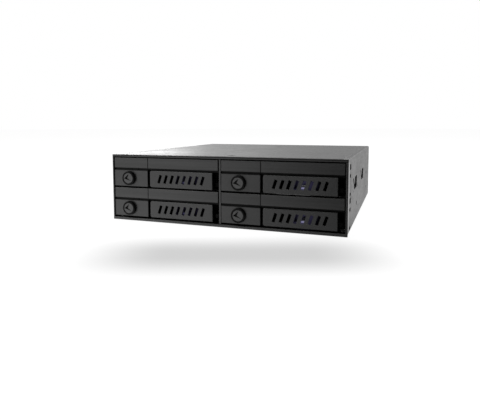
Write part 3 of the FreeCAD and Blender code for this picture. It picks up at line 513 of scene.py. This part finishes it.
FINISHES = {
    "zinc_steel": plated_steel("zinc_sheet", grey(0.19), grey(0.245), grey(0.40)),
    "pan_steel": moulding("tray_black", grey(0.006), grey(0.009), grey(0.03), (0.34, 0.44), 2000.0),
    "frame_plastic": frame_moulding(),
    "button_plastic": moulding("button_black", grey(0.002), grey(0.003), grey(0.016), (0.44, 0.52),
                               Specular_IOR_Level=0.08),
    "guide_plastic": moulding("guide_black", grey(0.004), grey(0.006), grey(0.014), Specular_IOR_Level=0.25),
    "port_plastic": moulding("port_black", grey(0.008), grey(0.011), grey(0.03), (0.32, 0.42), 2400.0),
    "fan_plastic": moulding("fan_black", grey(0.010), grey(0.014), grey(0.03), (0.36, 0.46), 2600.0),
    "lead_sheath": moulding("lead_black", grey(0.008), grey(0.012), grey(0.02), (0.3, 0.36)),
    "lock_metal": lock_finish(),
    "pin_steel": plain_metal("pin_bright", grey(0.5), grey(0.6), 0.25),
    "spring_steel": plain_metal("spring_wire", grey(0.4), grey(0.5), 0.25),
    "screw_steel": plain_metal("screw_zinc", grey(0.33), grey(0.45), 0.3),
    "black_screw": plain_metal("screw_black", grey(0.02), grey(0.035), 0.35),
    "circuit_board": board_finish(),
}
OWN_FINISH = {
    # side walls: the pale band behind the front plane is a painted highlight, and their holes and foot carry
    # painted shade
    "base_pan": plated_steel("cage_sheet", grey(0.185), grey(0.235), grey(0.38), front=grey(0.52), reach=7.2,
                             painted_shade_tone=grey(0.004)),
    "centre_wall": plated_steel("centre_sheet", grey(0.19), grey(0.245), grey(0.25), front=grey(0.062)),
}
OWN_FINISH.update({f"light_guide_{tray}": guide_finish(tray) for tray in TRAYS})
GOLD = plain_metal("contact_gold", (0.72, 0.50, 0.16, 1), (0.86, 0.62, 0.24, 1), 0.22, 1800.0, 0.03)
SOLDER = plain_metal("solder_bright", grey(0.46), grey(0.58), 0.28, 1500.0, 0.04)
CHIP_BLACK = moulding("chip_black", grey(0.009), grey(0.013), grey(0.03), (0.4, 0.5), 3000.0, 0.05)
CHIP_TAN = moulding("chip_part_tan", (0.16, 0.105, 0.06, 1), (0.20, 0.14, 0.08, 1), (0.24, 0.17, 0.1, 1),
                    (0.3, 0.4), 3000.0, 0.03)
CAN_SKIN = plain_metal("can_aluminium", grey(0.5), grey(0.62), 0.3, 700.0, 0.08)
LAMP = moulding("lamp_milky", grey(0.45), grey(0.52), grey(0.6), (0.25, 0.35), 3000.0, 0.04)
NYLON = moulding("plug_nylon", (0.42, 0.40, 0.34, 1), (0.48, 0.46, 0.40, 1), (0.55, 0.53, 0.47, 1),
                 (0.4, 0.5), 2600.0, 0.08)
OWN_FINISH.update({f"tray_front_{tray}": tray_moulding(tray) for tray in TRAYS})
OWN_FINISH.update({f"lever_{tray}": lever_moulding(tray) for tray in TRAYS})


def dress_nodes():
    """Gives every CAD node its finish, from its slot in the record."""
    slots = {entry["node"]: entry["material_slot"] for entry in frame["record"]["subparts"]}
    for name, node in NODES.items():
        node.data.materials.clear()
        node.data.materials.append(OWN_FINISH.get(name) or FINISHES[slots[name]])


# ---- shells ----
def shell_mesh(name, rings, material, body, smooth=35.0):
    """Closed shells as one piece. rings[shell, row, column] are points: rows run along each shell, columns go
    round it, neighbouring rings are joined by quads, and a flat face closes the first and the last ring."""
    rings = np.asarray(rings, float)
    if rings.ndim == 3:
        rings = rings[None]
    count, rows, columns, _ = rings.shape
    start = (np.arange(count) * rows * columns)[:, None, None]
    row = (np.arange(rows - 1) * columns)[None, :, None]
    here = np.arange(columns)[None, None, :]
    ahead = (here + 1) % columns
    quads = np.stack([start + row + here, start + row + ahead, start + row + columns + ahead,
                      start + row + columns + here], -1).reshape(-1, 4)
    first = (start[:, :, 0] + np.arange(columns)[None, ::-1])
    last = (start[:, :, 0] + (rows - 1) * columns + np.arange(columns)[None])
    mesh = bpy.data.meshes.new(name)
    mesh.from_pydata(rings.reshape(-1, 3).tolist(), [], quads.tolist() + first.tolist() + last.tolist())
    work = bmesh.new()
    work.from_mesh(mesh)
    bmesh.ops.recalc_face_normals(work, faces=work.faces)
    work.to_mesh(mesh)
    work.free()
    mesh.shade_smooth()
    mesh.set_sharp_from_angle(angle=math.radians(smooth))
    mesh.materials.append(material)
    piece = bpy.data.objects.new(name, mesh)
    bpy.context.scene.collection.objects.link(piece)
    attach(piece, body)
    return piece


def rounded_outline(half_a, half_b, corner, per_corner=3):
    """Closed rounded rectangle: each corner is a quarter circle of the corner radius about its own centre."""
    angle = np.concatenate([np.linspace(0, math.pi / 2, per_corner) + n * math.pi / 2 for n in range(4)])
    quarter = np.repeat(np.arange(4), per_corner)
    centre_a = np.where((quarter == 0) | (quarter == 3), 1, -1) * (half_a - corner)
    centre_b = np.where(quarter < 2, 1, -1) * (half_b - corner)
    return np.stack([centre_a + corner * np.cos(angle), centre_b + corner * np.sin(angle)], -1)


def blocks(centres, size, corner=0.2, edge=0.12, facing=1):
    """Rounded blocks standing on a plane of constant Y, in millimetres. The outline (X, Z) is a rounded
    rectangle; going out along Y it is full size until the last edge, where it shrinks by edge."""
    wide, deep, tall = size
    rows = [(0.0, 0.0), (deep - edge, 0.0), (deep, edge)]
    outline = np.stack([rounded_outline(wide / 2 - inset, tall / 2 - inset, max(corner - inset, 0.02))
                        for _, inset in rows])
    out = np.array([depth for depth, _ in rows])[:, None] * facing * np.ones((1, outline.shape[1]))
    shape = np.stack([outline[..., 0], out, outline[..., 1]], -1)
    return (np.asarray(centres, float)[:, None, None, :] + shape[None]) * MM


def turned(profile, centre, columns=48):
    """Solid of revolution about an axis along Y: each (radius, y) of the profile swept round (x, z)."""
    profile = np.asarray(profile, float)
    angle = np.linspace(0, 2 * math.pi, columns, endpoint=False)
    radius, along = profile[:, :1], profile[:, 1:]
    x, z = centre[0] + radius * np.cos(angle), centre[1] + radius * np.sin(angle)
    return np.stack([x, along + 0 * angle[None], z], -1) * MM


# ---- the stage ----
# the floor's soft oval of painted shadow, in metres from the point under the camera: its start and end ahead,
# and its side
SHADE_START, SHADE_END, SHADE_SIDE = (0.165, 0.202), (0.247, 0.209), (0.088, 0.032)
FLOOR_WHITE, FLOOR_SHADE, FLOOR_MATT = 0.93, 0.505, 0.14
MIRROR_RIGHT, MIRROR_LEFT, MIRROR_BESIDE = 0.12, 1.75, 0.69     # tone of the floor in reflections


def mix_shaders(tree, share, first, second):
    """The first shader node where share is 0 and the second where it is 1."""
    return add(tree, "ShaderNodeMixShader", {0: share, 1: first.outputs[0], 2: second.outputs[0]})


def floor_finish():
    """White floor. The camera sees mostly its own white, with a soft oval of painted shadow in front of the
    object, and a little of the light that falls on it, so that it keeps the object's shadow. Reflections see
    it paler on the left.
    """
    material = bpy.data.materials.new("floor_white")
    material.use_nodes = True
    tree = material.node_tree
    tree.nodes.clear()
    path = add(tree, "ShaderNodeLightPath").outputs
    at = point_axes(tree)
    turn = math.radians(CAMERA_TURN)
    from_x = sums(tree, "SUBTRACT", at["X"], CAMERA_AT[0])
    from_y = sums(tree, "SUBTRACT", at["Y"], CAMERA_AT[1])
    ahead = sums(tree, "ADD", sums(tree, "MULTIPLY", from_x, -math.sin(turn)),
                 sums(tree, "MULTIPLY", from_y, math.cos(turn)))
    aside = sums(tree, "ABSOLUTE", sums(tree, "ADD", sums(tree, "MULTIPLY", from_x, math.cos(turn)),
                                        sums(tree, "MULTIPLY", from_y, math.sin(turn))))
    # painted shadow: the soft oval on the floor
    painted_shadow = sums(tree, "MULTIPLY", step(tree, ahead, *SHADE_END), step(tree, ahead, *SHADE_START))
    painted_shadow = sums(tree, "MULTIPLY", painted_shadow, step(tree, aside, *SHADE_SIDE))
    own = blend_colours(tree, painted_shadow, grey(FLOOR_WHITE), grey(FLOOR_SHADE))
    seen = add(tree, "ShaderNodeEmission", {"Color": own, "Strength": 1.0})
    lit = add(tree, "ShaderNodeBsdfDiffuse", {"Color": grey(FLOOR_MATT)})
    both = add(tree, "ShaderNodeAddShader", {0: seen.outputs[0], 1: lit.outputs[0]})
    farther = sums(tree, "MULTIPLY", sums(tree, "ADD", at["Y"], 0.16), -0.22)
    paler = blend_colours(tree, step(tree, sums(tree, "ADD", at["X"], farther), 0.13, -0.11),
                          grey(MIRROR_RIGHT), grey(MIRROR_LEFT))
    near = sums(tree, "MULTIPLY", step(tree, at["Y"], -0.11, -0.22), 0.16)
    paler = blend_colours(tree, near, paler, grey(0.0))
    beside = sums(tree, "MULTIPLY", step(tree, at["X"], 0.071, 0.092), step(tree, at["Y"], -0.10, -0.02))
    paler = blend_colours(tree, beside, paler, grey(MIRROR_BESIDE))
    mirrored = add(tree, "ShaderNodeEmission", {"Color": paler, "Strength": 1.0})
    plain = add(tree, "ShaderNodeBsdfDiffuse", {"Color": (0.7, 0.7, 0.7, 1)})
    other = mix_shaders(tree, path["Is Glossy Ray"], plain, mirrored)
    pick = mix_shaders(tree, path["Is Camera Ray"], other, both)
    add(tree, "ShaderNodeOutputMaterial", {"Surface": pick.outputs[0]})
    return material


def make_floor():
    """Disc of floor under the object, wide enough for every view."""
    angle = np.linspace(0, 2 * math.pi, 96, endpoint=False)
    rim = np.stack([6.0 * np.cos(angle), 6.0 * np.sin(angle), 0 * angle], -1)
    mesh = bpy.data.meshes.new("floor")
    mesh.from_pydata(rim.tolist(), [], [list(range(96))])
    mesh.materials.append(floor_finish())
    floor = bpy.data.objects.new("floor", mesh)
    floor.location.z = -0.0002
    bpy.context.scene.collection.objects.link(floor)


def make_world():
    """White for the camera, a plain even light for matt surfaces, and for reflections a room that is white to
    the left and overhead, darker in front and mid grey behind."""
    world = bpy.data.worlds.new("studio")
    bpy.context.scene.world = world
    world.use_nodes = True
    tree = world.node_tree
    tree.nodes.clear()
    path = add(tree, "ShaderNodeLightPath").outputs
    direct = sums(tree, "MAXIMUM", path["Is Camera Ray"], path["Is Transmission Ray"])
    direction = add(tree, "ShaderNodeTexCoord").outputs["Generated"]
    way = add(tree, "ShaderNodeSeparateXYZ", {"Vector": direction}).outputs
    left = sums(tree, "MULTIPLY", way["X"], -1.0)
    before = sums(tree, "MULTIPLY", step(tree, left, 0.20, 0.50), 1.22)
    behind = sums(tree, "MULTIPLY_ADD", step(tree, left, 0.10, 0.40), 0.35, 0.2)
    behind = sums(tree, "MULTIPLY_ADD", step(tree, left, 0.24, 0.31), 0.15, behind)
    behind = sums(tree, "MULTIPLY_ADD", step(tree, left, 0.36, 0.43), -0.16, behind)
    low = sums(tree, "MULTIPLY", step(tree, left, 0.38, 0.54), step(tree, way["Z"], 0.4, 0.2))
    behind = sums(tree, "MULTIPLY_ADD", low, 5.3, behind)
    behind = sums(tree, "MULTIPLY_ADD", step(tree, left, 0.02, -0.16), 0.6, behind)
    share = step(tree, way["Y"], -0.15, 0.15)
    room = add(tree, "ShaderNodeMix", {"Factor": share, "A": before, "B": behind}).outputs["Result"]
    above = sums(tree, "MULTIPLY_ADD", share, 0.5, 0.2)
    above = sums(tree, "MULTIPLY", step(tree, way["Z"], 0.35, 0.9), above)
    room = sums(tree, "ADD", room, above)
    sky = add(tree, "ShaderNodeBackground", {"Color": (1, 1, 1, 1), "Strength": 1.0})
    mirror = add(tree, "ShaderNodeBackground", {"Color": (1, 1, 1, 1), "Strength": room})
    fill = add(tree, "ShaderNodeBackground", {"Color": (1, 1, 1, 1), "Strength": 0.38})
    shine = mix_shaders(tree, path["Is Glossy Ray"], fill, mirror)
    pick = mix_shaders(tree, direct, shine, sky)
    add(tree, "ShaderNodeOutputWorld", {"Surface": pick.outputs[0]})


def soft_box(name, at, size, power):
    """Square area lamp aimed at the middle of the object."""
    lamp = bpy.data.lights.new(name, "AREA")
    lamp.shape = "SQUARE"
    lamp.size = size
    lamp.energy = power
    holder = bpy.data.objects.new(name, lamp)
    holder.location = at
    holder.rotation_euler = (Vector((0, 0, 0.02)) - Vector(at)).to_track_quat("-Z", "Y").to_euler()
    bpy.context.scene.collection.objects.link(holder)


# ---- fans ----
BLADES = 7


def fan_wheel(side):
    """Rotor: a domed hub cup, and swept blades whose thin curved section turns and narrows to the tip."""
    name = f"fan_rotor_{side}"
    low, high = (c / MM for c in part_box(name))
    x, z = (low.x + high.x) / 2, (low.z + high.z) / 2
    front, back, tip = low.y, high.y - 1.0, (high.x - low.x) / 2
    cup = [(0.6, front + 0.25), (6.5, front + 0.05), (8.7, front + 0.15), (9.35, front + 0.5),
           (9.6, front + 1.2), (9.6, back), (8.6, back), (8.6, front + 2.2), (0.8, front + 2.2),
           (0.8, back + 1.4), (0.3, back + 1.4)]
    hub = shell_mesh(f"fan_hub_{side}", turned(cup, (x, z)), FINISHES["fan_plastic"], name)
    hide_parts(name)

    spans = np.linspace(0, 1, 9)[:, None]
    round_section = np.linspace(0, 2 * math.pi, 20, endpoint=False)[None]
    along = (1 - np.cos(round_section)) / 2
    chord = np.cos(round_section) * (6.9 + 0.9 * np.sin(spans * math.pi))
    thick = np.sin(round_section) * (0.75 - 0.35 * spans) * (0.35 + 0.65 * np.sqrt(along))
    camber = 1.5 * (1 - np.cos(round_section) ** 2) * (1 - 0.4 * spans)
    pitch = np.radians(50 - 22 * spans)
    across = chord * np.cos(pitch) - (thick + camber) * np.sin(pitch)
    deep = chord * np.sin(pitch) + (thick + camber) * np.cos(pitch)
    radius = 9.1 + (tip - 9.25) * spans + 0 * chord
    turn = across / radius + 0.34 * spans ** 2
    deep = np.clip(deep, -(back - front) / 2 + 0.3, (back - front) / 2)
    blades = []
    for n in range(BLADES):
        angle = turn + 2 * math.pi * n / BLADES
        around = [x + radius * np.cos(angle), (front + back) / 2 + deep, z + radius * np.sin(angle)]
        blades.append(np.stack(around, -1) * MM)
    shell_mesh(f"fan_blades_{side}", np.stack(blades), FINISHES["fan_plastic"], name, 50.0)


# ---- contacts, board parts and plugs ----
CONTACT_PITCH = 1.27
CONTACT_SIZE = (0.62, 4.4, 0.2)
DATA_AT, DATA_COUNT = -11.9, 7                # a receptacle's data contacts: middle of the row, and how many
POWER_AT, POWER_COUNT = 6.4, 15
PLUG_AT = (25.0, 34.5)                        # X and Z of a fan lead's plug


def contact_row(middle, y, z, count):
    """Places of a row of contacts along X about its middle (millimetres)."""
    across = middle + CONTACT_PITCH * (np.arange(count) - (count - 1) / 2)
    return np.stack([across, np.full(count, y), np.full(count, z)], -1)


def millimetres(name):
    """A node's box as two rows of millimetres."""
    return np.array([list(corner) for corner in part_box(name)]) / MM


def receptacle_rows(x, y, z):
    """Places of one receptacle's contacts, as its data row and its power row, about its middle x."""
    return [contact_row(x + DATA_AT, y, z, DATA_COUNT), contact_row(x + POWER_AT, y, z, POWER_COUNT)]


def socket_contacts(tray):
    """Gold contacts in one drive's receptacle: seven for data and fifteen for power."""
    low, high = millimetres(f"drive_socket_{tray}")
    x, z = (low[0] + high[0]) / 2, (low[2] + high[2]) / 2 + 0.62
    y = high[1] - 6.3
    places = np.concatenate(receptacle_rows(x, y, z))
    shell_mesh(f"socket_contacts_{tray}", blocks(places, CONTACT_SIZE, 0.08, 0.08), GOLD, "cage")


def port_contacts():
    """Gold contacts in the four data ports and in the two supply ports."""
    back = millimetres("data_port_block")[1][1]
    places = [contact_row(x, back - 5.8, z - 1.45, DATA_COUNT) for x in (-7.4, 7.4) for z in (8.6, 15.0)]
    contacts = blocks(np.concatenate(places), CONTACT_SIZE, 0.08, 0.08)
    shell_mesh("data_contacts", contacts, GOLD, "cage")
    for side in SIDES:
        low, high = millimetres(f"power_port_{side}")
        places = contact_row((low[0] + high[0]) / 2, high[1] - 5.8, low[2] + 1.75, POWER_COUNT)
        contacts = blocks(places, CONTACT_SIZE, 0.08, 0.08)
        shell_mesh(f"power_contacts_{side}", contacts, GOLD, "cage")


def solder_joints():
    """Domed joints on the back of the board, in two rows behind each receptacle where nothing else stands."""
    back = millimetres("backplane_board")[1][1]
    ports = [millimetres("data_port_block")] + [millimetres(f"power_port_{side}") for side in SIDES]
    spots = []
    for tray in TRAYS:
        low, high = millimetres(f"drive_socket_{tray}")
        x, z = (low[0] + high[0]) / 2, (low[2] + high[2]) / 2
        for rise in (-1.7, 1.7):
            spots += receptacle_rows(x, back, z + rise)
    spots = np.concatenate(spots)
    clear = np.ones(len(spots), bool)
    for low, high in ports:
        over = (np.abs(spots[:, 0] - (low[0] + high[0]) / 2) < (high[0] - low[0]) / 2 + 0.8)
        clear &= ~(over & (spots[:, 2] > low[2] - 0.8) & (spots[:, 2] < high[2] + 0.8))
    joints = blocks(spots[clear], (0.8, 0.35, 0.8), 0.38, 0.25)
    shell_mesh("solder_joints", joints, SOLDER, "cage", 60)


CHIPS = (                                     # X, Z, width, height and depth on the back of the board
    (-59.5, 23.2, 7.0, 5.0, 1.2), (-3.0, 21.8, 6.0, 5.0, 1.1), (10.6, 21.6, 4.0, 4.0, 0.9),
    (-21.0, 21.6, 5.0, 4.0, 1.5), (20.6, 21.6, 5.0, 4.0, 1.5), (-34.0, 25.8, 4.0, 2.6, 1.0),
)
CANS = ((-66.4, 26.8), (-52.0, 26.8), (-66.4, 8.0))
CAN_R, CAN_DEEP = 2.9, 6.2


def chip_legs(x, z, wide, tall):
    """Places of a chip's legs, along its upper and lower edges."""
    across = x + 0.8 * (np.arange(int(wide / 0.8)) - (int(wide / 0.8) - 1) / 2)
    return [(a, z + s * (tall / 2 + 0.35)) for a in across for s in (-1, 1)]


def board_parts():
    """Parts on the back of the board: chips with legs, cans on black seats, and rows of small chip parts."""
    back = millimetres("backplane_board")[1][1]
    legs = []
    for n, (x, z, wide, tall, deep) in enumerate(CHIPS):
        body = blocks([(x, back + 0.15, z)], (wide, deep, tall), 0.25, 0.15)
        shell_mesh(f"board_chip_{n}", body, CHIP_BLACK, "cage")
        legs += [(a, back, b) for a, b in chip_legs(x, z, wide, tall)]
    shell_mesh("chip_legs", blocks(legs, (0.35, 0.3, 0.8), 0.06, 0.08), SOLDER, "cage")
    for n, (x, z) in enumerate(CANS):
        can = [(CAN_R, back + 0.5), (CAN_R, back + 1.2), (CAN_R - 0.15, back + 1.5), (CAN_R, back + 1.8),
               (CAN_R, back + CAN_DEEP - 0.3), (CAN_R - 0.3, back + CAN_DEEP)]
        shell_mesh(f"board_can_{n}", turned(can, (x, z), 40), CAN_SKIN, "cage")
        seat = blocks([(x, back, z)], (2 * CAN_R + 0.3, 0.7, 2 * CAN_R + 0.3), 0.7, 0.1)
        shell_mesh(f"can_seat_{n}", seat, CHIP_BLACK, "cage")
    row = [(-47.0 - 1.9 * n, back, 10.4) for n in range(7)] + [(29.0 + 2.4 * n, back, 29.9) for n in range(9)]
    row += [(-29.0 - 2.4 * n, back, 29.9) for n in range(8)] + [(2.0 + 1.9 * n, back, 24.6) for n in range(3)]
    row += [(18.2 + 1.9 * n, back, 10.6) for n in range(5)]
    row += [(-18.2 - 1.9 * n, back, 10.6) for n in range(5)]
    shell_mesh("chip_parts", blocks(row, (0.7, 0.5, 0.85), 0.08, 0.08), CHIP_TAN, "cage")
    ends = [(x, y, z + s * 0.6) for x, y, z in row for s in (-1, 1)]
    shell_mesh("chip_part_ends", blocks(ends, (0.75, 0.56, 0.35), 0.06, 0.08), SOLDER, "cage")


def status_lamps():
    """One small lamp on the front of the board at the end of each light guide."""
    front = millimetres("backplane_board")[0][1]
    for tray in TRAYS:
        low, high = millimetres(f"light_guide_{tray}")
        place_of = [((low[0] + high[0]) / 2, front, low[2] + 0.62)]
        shell_mesh(f"status_lamp_{tray}", blocks(place_of, (2.0, 1.5, 1.1), 0.15, 0.1, -1), LAMP, "cage")


def lead_plugs():
    """Small nylon plug round the end of each fan's lead, with a rib on its top."""
    back = millimetres("backplane_board")[1][1]
    for side, way in SIDES.items():
        x, z = PLUG_AT[0] * way, PLUG_AT[1]
        shell_mesh(f"lead_plug_{side}", blocks([(x, back, z)], (5.2, 4.6, 3.4), 0.3, 0.25), NYLON, "cage")
        ribs = [(x - 1.4, back + 0.6, z + 1.75), (x + 1.4, back + 0.6, z + 1.75)]
        ribs = blocks(ribs, (0.7, 3.6, 0.5), 0.1, 0.12)
        shell_mesh(f"plug_ribs_{side}", ribs, NYLON, "cage")


# ---- assembly ----
make_camera()
make_world()
make_floor()
soft_box("key", (-0.75, -0.75, 0.95), 0.8, 6.5)
soft_box("top", (0.1, 0.2, 1.2), 1.0, 8.5)
dress_nodes()
for side in SIDES:
    fan_wheel(side)
for tray in TRAYS:
    socket_contacts(tray)
port_contacts()
solder_joints()
board_parts()
status_lamps()
lead_plugs()

bpy.context.scene.view_settings.view_transform = "Standard"
